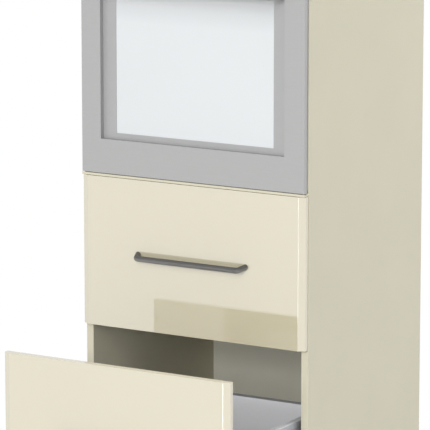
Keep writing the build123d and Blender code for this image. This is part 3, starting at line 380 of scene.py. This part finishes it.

# Drawer sides: double-walled folded steel with a rolled rim, in a grey powder coat that is fine
# and slightly pebbled. A painted highlight lightens every upward-facing face, the top of the rim
# among them. An oval cap on each inner wall covers the adjusting screws of the front.
powder, tree, shader = surface("grey_powder_coat", (0.43, 0.44, 0.475), roughness=0.38, metallic=0.05)
coat = between(tree, noise(tree, 14.0), (0.42, 0.43, 0.465), (0.44, 0.45, 0.485))
painted_highlight_top = between(tree, noise(tree, 60.0, (1.0, 0.1, 1.0)), (0.68, 0.69, 0.71), (0.74, 0.75, 0.77))
# Painted highlight: faces that point upwards get the lighter grey.
tree.links.new(blended(tree, facing(tree, "Z", 0.3, 0.8), coat, painted_highlight_top), shader.inputs["Base Color"])
tree.links.new(between(tree, noise(tree, 1000.0), 0.33, 0.43), shader.inputs["Roughness"])
relief(tree, shader, noise(tree, 1500.0, detail=1.0), depth=0.00006)
dress(["lower_drawer_sides", "middle_drawer_sides"], powder, smooth=True)

cover_length = 0.046
cover_height = 0.022
cover_corner = 0.01056
cover_setback = 0.034
cover_drop = 0.052
cover_thick = 0.0014
cover_sink = 0.0002


def rounded_plate(shape, centre, across, up, size, corner, thick, steps=6):
    """A plate with round corners that stands off along across × up.

    A negative thickness goes the other way, and then the outer edge widens a little.
    """
    out = Vector(across).cross(Vector(up))
    shoulder = thick * 0.6
    edge = thick * 0.5
    rims = []
    for inset, level in ((0.0, 0.0), (0.0, shoulder), (edge, thick)):
        rim = []
        for quarter in range(4):
            turn_x = (1, -1, -1, 1)[quarter]
            turn_z = (1, 1, -1, -1)[quarter]
            middle = (turn_x * (size[0] / 2 - corner), turn_z * (size[1] / 2 - corner))
            for step in range(steps + 1):
                turn = math.pi / 2 * (quarter + step / steps)
                reach = corner - inset
                x = middle[0] + reach * math.cos(turn)
                z = middle[1] + reach * math.sin(turn)
                rim.append(shape.verts.new(Vector(centre) + Vector(across) * x
                                           + Vector(up) * z + out * level))
        rims.append(rim)
    shape.faces.new(rims[0][::-1])
    shape.faces.new(rims[-1])
    count = len(rims[0])
    for low, high in zip(rims, rims[1:]):
        for step in range(count):
            after = (step + 1) % count
            shape.faces.new([low[step], low[after], high[after], high[step]])


def side_caps(drawer):
    wall_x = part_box(f"{drawer}_back")[1].x
    sides_low, sides_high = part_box(f"{drawer}_sides")

    def maker(shape):
        for sign in (-1, 1):
            centre = (sign * (wall_x + cover_sink), sides_low.y + cover_setback,
                      sides_high.z - cover_drop)
            rounded_plate(shape, centre, (0, sign, 0), (0, 0, 1), (cover_length, cover_height),
                          cover_corner, -cover_thick)
    return maker


cover_plastic, tree, shader = surface("grey_cap_plastic", (0.36, 0.37, 0.40), roughness=0.4)
relief(tree, shader, noise(tree, 900.0), depth=0.00006)
for drawer in ("lower_drawer", "middle_drawer"):
    new_piece(f"{drawer}_side_caps", side_caps(drawer), cover_plastic, drawer)

# Drawer floor and back: 16 mm chipboard in a very pale cool grey decor with a faint linen press.
# The back stands on the floor between the sides, with a darker banded top edge.
linen, tree, shader = surface("grey_linen_board", (0.89, 0.90, 0.94), roughness=0.5)
threads = noise(tree, 900.0, (1.0, 0.08, 1.0), 1.0)
tree.links.new(between(tree, threads, (0.87, 0.88, 0.92), (0.91, 0.92, 0.96)),
               shader.inputs["Base Color"])
relief(tree, shader, noise(tree, 900.0, (0.08, 1.0, 1.0), 1.0), depth=0.00005)
dress(["lower_drawer_floor", "middle_drawer_floor", "lower_drawer_back", "middle_drawer_back"],
      linen)
banding, tree, shader = surface("dark_edge_banding", (0.46, 0.46, 0.47), roughness=0.4)
relief(tree, shader, noise(tree, 800.0), depth=0.00004)
banding_proud = 0.0003
banding_sink = 0.0008


def back_banding(drawer):
    low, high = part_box(f"{drawer}_back")
    under = high.z - banding_sink
    over = high.z + banding_proud

    def maker(shape):
        flat_bar(shape, [(low.x, low.y, under), (low.x, high.y, under), (low.x, high.y, over),
                         (low.x, low.y, over)], (high.x - low.x, 0, 0))
    return maker


for drawer in ("lower_drawer", "middle_drawer"):
    new_piece(f"{drawer}_back_banding", back_banding(drawer), banding, drawer,
              smooth=False)

# Bumpers: clear soft discs stuck to the back of each front near its corners, on the upper door
# only away from the hinges, so that it meets the wood without a knock.
bumper_plastic, tree, shader = surface("clear_bumper", (0.75, 0.75, 0.72), roughness=0.2)
shader.inputs["Transmission Weight"].default_value = 0.6
relief(tree, shader, noise(tree, 300.0), depth=0.00004)
bumper_profile = [(0, 0), (0.0042, 0), (0.0040, 0.0007), (0.0028, 0.0011), (0, 0.0011)]
bumper_inset = 0.008
bumper_end_room = 0.045


def front_bumpers(front, sides):
    low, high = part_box(front)

    def maker(shape):
        for side in sides:
            x = side * (high.x - bumper_inset)
            for z in (low.z + bumper_end_room, high.z - bumper_end_room):
                turned(shape, bumper_profile, (x, high.y, z), (0, 1, 0), steps=20)
    return maker


for front, body, sides in (("lower_drawer_front", "lower_drawer", (-1, 1)),
                           ("middle_drawer_front", "middle_drawer", (-1, 1)),
                           ("upper_door", "upper_door", (1,))):
    new_piece(f"{front}_bumpers", front_bumpers(front, sides), bumper_plastic, body)

# Oven door frame and control panel: pressed sheet with a fine horizontal brushing under a matt
# clear coat, so it stays an even light grey. The frame stands 13.5 mm proud of the inset panel,
# which is painted in nearly the same grey.
silver, tree, shader = surface("brushed_silver_sheet", (0.42, 0.42, 0.42), roughness=0.42, metallic=0.2)
tree.links.new(between(tree, noise(tree, 700.0, (0.04, 1.0, 1.0)), (0.415, 0.415, 0.416),
                       (0.425, 0.425, 0.426)), shader.inputs["Base Color"])
tree.links.new(between(tree, noise(tree, 900.0, (0.04, 1.0, 1.0)), 0.37, 0.47),
               shader.inputs["Roughness"])
relief(tree, shader, noise(tree, 1100.0, (0.03, 1.0, 1.0)), depth=0.00002)
dress(["oven_door_frame", "control_panel"], silver, smooth=True)
inset_paint, tree, shader = surface("grey_inset_paint", (0.41, 0.41, 0.412), roughness=0.4,
                                    metallic=0.2)
tree.links.new(between(tree, noise(tree, 40.0), (0.405, 0.405, 0.407), (0.415, 0.415, 0.417)),
               shader.inputs["Base Color"])
relief(tree, shader, noise(tree, 1200.0, detail=1.0), depth=0.00005)
dress(["oven_door_inset"], inset_paint)

# Window pane: 4 mm safety glass with a pale silvered layer behind, so it looks nearly white and
# mirrors the room softly. A painted shadow greys it towards the top, under the handle. It
# is bonded behind the inset panel.
# Heights between which the painted shadow fades in towards the top of the pane.
painted_shadow_start = 1.235
painted_shadow_end = 1.305
pane, tree, shader = surface("pale_silvered_glass", (0.675, 0.70, 0.715), roughness=0.12)
silvering = between(tree, noise(tree, 3.0), (0.67, 0.695, 0.71), (0.68, 0.705, 0.72))
# Greyer colour of the painted shadow at the top of the pane.
painted_shadow = between(tree, noise(tree, 3.0), (0.53, 0.545, 0.56), (0.55, 0.565, 0.58))
place = tree.nodes.new("ShaderNodeTexCoord")
parts = tree.nodes.new("ShaderNodeSeparateXYZ")
height = tree.nodes.new("ShaderNodeMapRange")
height.inputs["From Min"].default_value = painted_shadow_start
height.inputs["From Max"].default_value = painted_shadow_end
tree.links.new(place.outputs["Object"], parts.inputs["Vector"])
tree.links.new(parts.outputs["Z"], height.inputs["Value"])
tree.links.new(blended(tree, height.outputs["Result"], silvering, painted_shadow),
               shader.inputs["Base Color"])
shader.inputs["Coat Weight"].default_value = 1.0
shader.inputs["Coat IOR"].default_value = 1.6
shader.inputs["Coat Roughness"].default_value = 0.02
relief(tree, shader, noise(tree, 12.0, detail=0.0), depth=0.00002)
dress(["oven_door_window"], pane)

# Inner pane: clear tempered glass that closes the oven. A baked-on black border hides the carrier
# behind it.
clear, tree, shader = surface("clear_tempered_glass", (0.93, 0.96, 0.95), roughness=0.02)
shader.inputs["Transmission Weight"].default_value = 1.0
shader.inputs["IOR"].default_value = 1.5
relief(tree, shader, noise(tree, 10.0, detail=0.0), depth=0.00001)
dress(["oven_door_inner_pane"], clear)
border_paint, tree, shader = surface("black_baked_border", (0.012, 0.012, 0.013), roughness=0.25)
tree.links.new(between(tree, noise(tree, 60.0), 0.2, 0.32), shader.inputs["Roughness"])
pane_low, pane_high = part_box("oven_door_inner_pane")
border_width = 0.034
border_gap = 0.0001
border_thick = 0.00012


def ring_plate(shape, low, high, width, y, thick):
    """A flat upright ring: an outer rectangle less an inner one, of a small thickness."""
    def corners(inset, depth):
        return [shape.verts.new((x, depth, z)) for x, z in (
            (low[0] + inset, low[1] + inset), (high[0] - inset, low[1] + inset),
            (high[0] - inset, high[1] - inset), (low[0] + inset, high[1] - inset))]
    loops = [corners(0, y), corners(0, y + thick), corners(width, y + thick), corners(width, y)]
    for loop, following in zip(loops, loops[1:] + loops[:1]):
        for step in range(len(loop)):
            after = (step + 1) % len(loop)
            shape.faces.new([loop[step], loop[after], following[after], following[step]])


def pane_border(shape):
    ring_plate(shape, (pane_low.x, pane_low.z), (pane_high.x, pane_high.z), border_width,
               pane_high.y + border_gap, border_thick)


new_piece("inner_pane_border", pane_border, border_paint, "oven_door", smooth=False)

# Door carrier and casing: galvanised sheet with the flower-like spangle of the zinc bath. The
# casing is folded round the oven and closed by a rear sheet.
galvanised, tree, shader = surface("galvanised_sheet", (0.50, 0.51, 0.52), roughness=0.4, metallic=0.85)
place = tree.nodes.new("ShaderNodeTexCoord")
spangle = tree.nodes.new("ShaderNodeTexVoronoi")
spangle.inputs["Scale"].default_value = 110.0
tree.links.new(place.outputs["Object"], spangle.inputs["Vector"])
tree.links.new(between(tree, spangle.outputs["Color"], (0.42, 0.43, 0.44), (0.56, 0.57, 0.58),
                       0.1, 0.9), shader.inputs["Base Color"])
tree.links.new(between(tree, spangle.outputs["Color"], 0.30, 0.50, 0.1, 0.9),
               shader.inputs["Roughness"])
relief(tree, shader, noise(tree, 300.0), depth=0.00004)
dress(["oven_door_carrier", "oven_casing"], galvanised, smooth=True)

# Front plate of the oven: pressed steel with a light grey paint, screwed to the front edges of the
# niche's sides.
plate_paint, tree, shader = surface("light_plate_paint", (0.60, 0.60, 0.59), roughness=0.45)
tree.links.new(between(tree, noise(tree, 20.0), (0.58, 0.58, 0.57), (0.62, 0.62, 0.61)),
               shader.inputs["Base Color"])
relief(tree, shader, noise(tree, 1300.0, detail=1.0), depth=0.00005)
dress(["oven_front_plate"], plate_paint, smooth=True)

# Rear sheet of the oven: rows of pressed louvres let the cooling air out, and six-sided screws
# with small collars hold the sheet along its sides and top.
casing_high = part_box("oven_casing")[1]
louvre_width = 0.060
louvre_crest_width = 0.051
louvre_height = 0.0065
louvre_crest_drop = 0.001625
louvre_rise = 0.0055
louvre_end_rise = 0.0004
louvre_rows = 5
louvre_pitch = 0.017
louvre_columns = (-0.090, 0.0, 0.090)
lowest_louvre_drop = 0.125


def louvres(shape):
    end = louvre_width / 2
    crest = louvre_crest_width / 2
    slices = ((-end, louvre_end_rise), (-crest, louvre_rise), (crest, louvre_rise),
              (end, louvre_end_rise))
    for column in louvre_columns:
        for row in range(louvre_rows):
            z = casing_high.z - lowest_louvre_drop + row * louvre_pitch
            rings = []
            for across, rise in slices:
                ring = ((casing_high.y, z), (casing_high.y + rise, z - louvre_crest_drop),
                        (casing_high.y, z - louvre_height))
                rings.append([shape.verts.new((column + across, y, level)) for y, level in ring])
            for left, right in zip(rings, rings[1:]):
                for step in range(len(left)):
                    after = (step + 1) % len(left)
                    shape.faces.new([left[step], left[after], right[after], right[step]])
            shape.faces.new(rings[0])
            shape.faces.new(rings[-1][::-1])


new_piece("casing_louvres", louvres, galvanised, "cabinet", smooth=False)
casing_screw = [(0, 0), (0.0062, 0), (0.0062, 0.0007), (0.0036, 0.0008), (0.0036, 0.0030),
                (0.0030, 0.0036), (0, 0.0036)]
side_screw_x = 0.262
side_screw_levels = (0.905, 1.090, 1.270, 1.445)
top_screw_spread = (-0.131, 0.0, 0.131)
top_screw_level = 1.448


def casing_screws(shape):
    spots = [(x, z) for x in (-side_screw_x, side_screw_x) for z in side_screw_levels]
    spots += [(x, top_screw_level) for x in top_screw_spread]
    for x, z in spots:
        turned(shape, casing_screw, (x, casing_high.y, z), (0, 1, 0), steps=6)


new_piece("casing_screws", casing_screws, zinc, "cabinet", smooth=False)

# Cavity and baking tray: steel dipped in dark blue-grey enamel and fired, glossy, with pale
# specks. The rear wall has the ribbed cover of the fan and the lamp's glass.
enamel, tree, shader = surface("speckled_enamel", (0.03, 0.033, 0.045), roughness=0.2)
specks = between(tree, noise(tree, 1100.0, detail=1.0), (0.028, 0.031, 0.042), (0.35, 0.37, 0.42),
                 0.70, 0.76)
tree.links.new(specks, shader.inputs["Base Color"])
shader.inputs["Coat Weight"].default_value = 0.6
shader.inputs["Coat Roughness"].default_value = 0.08
relief(tree, shader, noise(tree, 120.0, detail=1.0), depth=0.00004)
dress(["oven_cavity", "baking_tray"], enamel, smooth=True)
cavity_low, cavity_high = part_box("oven_cavity")
cavity_sheet = 0.0012
rear_wall = cavity_high.y - cavity_sheet
fan_drop = 0.020
fan_spot = Vector((0.0, rear_wall, (cavity_low.z + cavity_high.z) / 2 - fan_drop))
fan_profile = [(0, 0.011), (0.030, 0.011), (0.086, 0.0095), (0.098, 0.0)]
rib_count = 14
rib_start = 0.038
rib_end = 0.078
rib_start_half = 0.0018
rib_end_half = 0.0036
rib_level = 0.0112
rib_fall = 0.0006
rib_thick = 0.0012


def fan_cover(shape):
    turned(shape, fan_profile, fan_spot, (0, -1, 0), steps=48)
    near = fan_spot - Vector((0, rib_level, 0))
    far = near + Vector((0, rib_fall, 0))
    for step in range(rib_count):
        turn = math.tau * step / rib_count
        out = Vector((math.cos(turn), 0, math.sin(turn)))
        side = Vector((-math.sin(turn), 0, math.cos(turn)))
        flat_bar(shape, [near + out * rib_start - side * rib_start_half,
                         near + out * rib_start + side * rib_start_half,
                         far + out * rib_end + side * rib_end_half,
                         far + out * rib_end - side * rib_end_half], (0, -rib_thick, 0))


new_piece("fan_cover", fan_cover, enamel, "cabinet")
lamp_glass, tree, shader = surface("ribbed_lamp_glass", (0.80, 0.78, 0.70), roughness=0.15)
shader.inputs["Transmission Weight"].default_value = 0.5
relief(tree, shader, noise(tree, 250.0), depth=0.0002)
lamp_x = -0.165
lamp_drop = 0.070
lamp_dome = [(0, 0.020), (0.010, 0.0195), (0.019, 0.0165), (0.0255, 0.0105), (0.0275, 0.0)]


def oven_lamp(shape):
    turned(shape, lamp_dome, (lamp_x, rear_wall, cavity_high.z - lamp_drop), (0, -1, 0), steps=36)


new_piece("oven_lamp_glass", oven_lamp, lamp_glass, "cabinet")

# Ladders and rack: bright chromed wire, slightly clouded by heat. The ladders stand at the sides of
# the cavity and carry the rack and the tray.
chrome, tree, shader = surface("chromed_wire", (0.62, 0.62, 0.63), roughness=0.16, metallic=1.0)
tree.links.new(between(tree, noise(tree, 60.0), 0.10, 0.24), shader.inputs["Roughness"])
relief(tree, shader, noise(tree, 500.0), depth=0.00003)
dress(["rack_ladders", "wire_rack"], chrome, smooth=True)

# Grill element: a steel tube bent in loops under the roof of the cavity, dull and brown-grey from
# glowing.
scaled, tree, shader = surface("heat_scaled_steel", (0.09, 0.08, 0.075), roughness=0.6, metallic=0.7)
tree.links.new(between(tree, noise(tree, 45.0), (0.07, 0.06, 0.055), (0.14, 0.125, 0.115)),
               shader.inputs["Base Color"])
relief(tree, shader, noise(tree, 900.0), depth=0.00008)
dress(["grill_element"], scaled, smooth=True)

# Door gasket: dark grey silicone with a soft skin. It stands on the front plate round the mouth
# and ends just short of the inner pane.
silicone, tree, shader = surface("dark_silicone", (0.035, 0.035, 0.036), roughness=0.6)
tree.links.new(between(tree, noise(tree, 200.0), 0.52, 0.7), shader.inputs["Roughness"])
relief(tree, shader, noise(tree, 1000.0), depth=0.00008)
dress(["door_gasket"], silicone, smooth=True)

# Knobs: turned aluminium with a skirt and a straight grip, with fine streaks along their sides.
# A printed line on the grip shows where the knob points.
knob_metal, tree, shader = surface("turned_aluminium", (0.52, 0.52, 0.53), roughness=0.34, metallic=0.9)
tree.links.new(between(tree, noise(tree, 500.0, (1.0, 0.05, 1.0)), 0.26, 0.42),
               shader.inputs["Roughness"])
relief(tree, shader, noise(tree, 900.0, (1.0, 0.05, 1.0)), depth=0.00002)
dress(["function_knob", "temperature_knob"], knob_metal, smooth=True)
print_grey, tree, shader = surface("dark_grey_print", (0.03, 0.03, 0.032), roughness=0.5)
tree.links.new(between(tree, noise(tree, 300.0), 0.45, 0.55), shader.inputs["Roughness"])
pointer_width = 0.0016
pointer_length = 0.0110
pointer_corner = 0.0007
pointer_rise = 0.011
pointer_proud = 0.0002
pointer_thick = 0.0005


def pointer(knob):
    low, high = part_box(knob)
    middle = (low + high) / 2

    def maker(shape):
        rounded_plate(shape, (middle.x, low.y - pointer_proud, middle.z + pointer_rise),
                      (1, 0, 0), (0, 0, 1), (pointer_width, pointer_length), pointer_corner,
                      -pointer_thick)
    return maker


for knob in ("function_knob", "temperature_knob"):
    new_piece(f"{knob}_pointer", pointer(knob), print_grey, knob)

# Panel prints: thin dark ticks round each knob, and plain degree numbers round the temperature
# knob, screen-printed on the panel.
panel_low, panel_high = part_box("control_panel")
panel_face = panel_low.y
panel_middle_z = (panel_low.z + panel_high.z) / 2
knob_x = 0.165
tick_inner = 0.0275
tick_outer = 0.0315
tick_half = 0.0005
tick_sink = 0.00005
tick_thick = 0.0002
function_marks = range(0, 360, 45)
heat_step = 50
heat_step_turn = 54
temperature_marks = {heat_step_turn * step: str(heat_step * step) for step in range(6)}
number_radius = 0.0390
number_size = 0.0085
number_thick = 0.0001


def ticks(shape, centre_x, turns):
    middle = Vector((centre_x, panel_face + tick_sink, panel_middle_z))
    for turn in turns:
        angle = math.radians(90 - turn)
        out = Vector((math.cos(angle), 0, math.sin(angle)))
        side = Vector((-math.sin(angle), 0, math.cos(angle))) * tick_half
        flat_bar(shape, [middle + out * tick_inner - side, middle + out * tick_inner + side,
                         middle + out * tick_outer + side, middle + out * tick_outer - side],
                 (0, -tick_thick, 0))


def panel_ticks(shape):
    ticks(shape, -knob_x, function_marks)
    ticks(shape, knob_x, temperature_marks)


new_piece("panel_ticks", panel_ticks, print_grey, "cabinet", smooth=False)
for turn, words in temperature_marks.items():
    angle = math.radians(90 - turn)
    text = bpy.data.curves.new(f"number_{words}", "FONT")
    text.body = words
    text.size = number_size
    text.extrude = number_thick
    text.align_x = "CENTER"
    text.align_y = "CENTER"
    number = bpy.data.objects.new(f"number_{words}", text)
    bpy.context.scene.collection.objects.link(number)
    number.rotation_euler = (math.radians(90), 0, 0)
    number.location = (knob_x + number_radius * math.cos(angle), panel_face - number_thick,
                       panel_middle_z + number_radius * math.sin(angle))
    text.materials.append(print_grey)
    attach(number, "cabinet")

# Pilot lamps: small amber lenses with rounded rims, pushed through the panel between the knobs and
# each held by a flange behind it.
amber, tree, shader = surface("amber_lens", (0.55, 0.20, 0.04), roughness=0.18)
shader.inputs["Transmission Weight"].default_value = 0.35
relief(tree, shader, noise(tree, 400.0), depth=0.00006)
dress(["pilot_lamps"], amber, smooth=True)

# Floor and studio: a pale floor under the cabinet that fades to white further out, a white room
# for the camera and for reflections, and large soft lamps from the front and the right. An upright
# strip of light before the pull-outs shows in their gloss alone.
floor_mesh = bpy.data.meshes.new("floor")
floor_half = 14.0
fade_start = 0.50
fade_end = 1.05
floor_mesh.from_pydata([(-floor_half, -floor_half, 0), (floor_half, -floor_half, 0),
                        (floor_half, floor_half, 0), (-floor_half, floor_half, 0)], [],
                       [(0, 1, 2, 3)])
floor = bpy.data.objects.new("floor", floor_mesh)
bpy.context.scene.collection.objects.link(floor)


def seen_directly(tree):
    """1 for what the camera, a mirror or a pane shows, 0 for light that spreads."""
    rays = tree.nodes.new("ShaderNodeLightPath")
    total = rays.outputs["Is Camera Ray"]
    for kind in ("Is Glossy Ray", "Is Transmission Ray"):
        joined = tree.nodes.new("ShaderNodeMath")
        joined.operation = "MAXIMUM"
        tree.links.new(total, joined.inputs[0])
        tree.links.new(rays.outputs[kind], joined.inputs[1])
        total = joined.outputs["Value"]
    return total


pale, tree, shader = surface("pale_floor", (0.80, 0.80, 0.79), roughness=0.6)
tree.links.new(between(tree, noise(tree, 1.5), (0.79, 0.79, 0.78), (0.81, 0.81, 0.80)),
               shader.inputs["Base Color"])
shader.inputs["Specular IOR Level"].default_value = 0.1
glow = tree.nodes.new("ShaderNodeEmission")
place = tree.nodes.new("ShaderNodeTexCoord")
far = tree.nodes.new("ShaderNodeVectorMath")
far.operation = "LENGTH"
fade = tree.nodes.new("ShaderNodeMapRange")
fade.interpolation_type = "SMOOTHSTEP"
fade.inputs["From Min"].default_value = fade_start
fade.inputs["From Max"].default_value = fade_end
share = tree.nodes.new("ShaderNodeMath")
share.operation = "MULTIPLY"
mix = tree.nodes.new("ShaderNodeMixShader")
tree.links.new(place.outputs["Object"], far.inputs[0])
tree.links.new(far.outputs["Value"], fade.inputs["Value"])
tree.links.new(fade.outputs["Result"], share.inputs[0])
tree.links.new(seen_directly(tree), share.inputs[1])
tree.links.new(share.outputs["Value"], mix.inputs["Fac"])
tree.links.new(shader.outputs["BSDF"], mix.inputs[1])
tree.links.new(glow.outputs["Emission"], mix.inputs[2])
tree.links.new(mix.outputs["Shader"], tree.nodes["Material Output"].inputs["Surface"])
floor_mesh.materials.append(pale)

room = bpy.data.worlds.new("white_room")
room.use_nodes = True
tree = room.node_tree
soft = tree.nodes["Background"]
soft.inputs["Color"].default_value = (1.0, 1.0, 1.0, 1.0)
soft.inputs["Strength"].default_value = 0.42
white = tree.nodes.new("ShaderNodeBackground")
white.inputs["Color"].default_value = (1.0, 1.0, 1.0, 1.0)
white.inputs["Strength"].default_value = 1.0
mix = tree.nodes.new("ShaderNodeMixShader")
tree.links.new(seen_directly(tree), mix.inputs["Fac"])
tree.links.new(soft.outputs["Background"], mix.inputs[1])
tree.links.new(white.outputs["Background"], mix.inputs[2])
tree.links.new(mix.outputs["Shader"], tree.nodes["World Output"].inputs["Surface"])
bpy.context.scene.world = room


def lamp(name, place, aim, size, power, mirrored=False):
    """A soft lamp that shines from a place towards another. A mirrored one shows in gloss alone."""
    light = bpy.data.lights.new(name, "AREA")
    light.shape = "RECTANGLE"
    light.size, light.size_y = size
    light.energy = power
    made = bpy.data.objects.new(name, light)
    made.location = place
    made.rotation_euler = (Vector(aim) - Vector(place)).to_track_quat("-Z", "Y").to_euler()
    made.visible_camera = False
    made.visible_glossy = mirrored
    made.visible_diffuse = not mirrored
    bpy.context.scene.collection.objects.link(made)


front_aim = (0, -0.3, 0.8)
lamp("lamp by the camera", place=(1.4, -20.6, 6.05), aim=front_aim, size=(3.0, 4.3), power=1655)
lamp("high lamp", place=(4.5, -18.3, 9.95), aim=front_aim, size=(7.5, 7.5), power=1350)
lamp("lamp on the right", place=(4.0, 2.2, 5.2), aim=(0, 0, 1.0), size=(4.5, 3.5), power=200)
lamp("strip before the pull-outs", place=(0.34, -1.50, 0.39), aim=(0.34, 0, 0.39),
     size=(0.08, 0.64), power=0.9, mirrored=True)

# Camera: at the photograph's place, to the right of the cabinet and a little higher than its top,
# looking slightly down through a long lens.
camera_target = Vector((0.05246, -0.280, 0.80364))
camera_turn = math.radians(30.538)
camera_rise = math.radians(10.930)
camera_distance = 7.8314
back = Vector((math.sin(camera_turn) * math.cos(camera_rise),
               -math.cos(camera_turn) * math.cos(camera_rise), math.sin(camera_rise)))
camera_data = bpy.data.cameras.new("camera")
camera_data.lens = 284.51
camera_data.sensor_width = 36.0
camera_data.clip_end = 60.0
camera = bpy.data.objects.new("camera", camera_data)
camera.location = camera_target + back * camera_distance
camera.rotation_euler = (-back).to_track_quat("-Z", "Y").to_euler()
bpy.context.scene.collection.objects.link(camera)
bpy.context.scene.camera = camera
bpy.context.scene.view_settings.view_transform = "Standard"
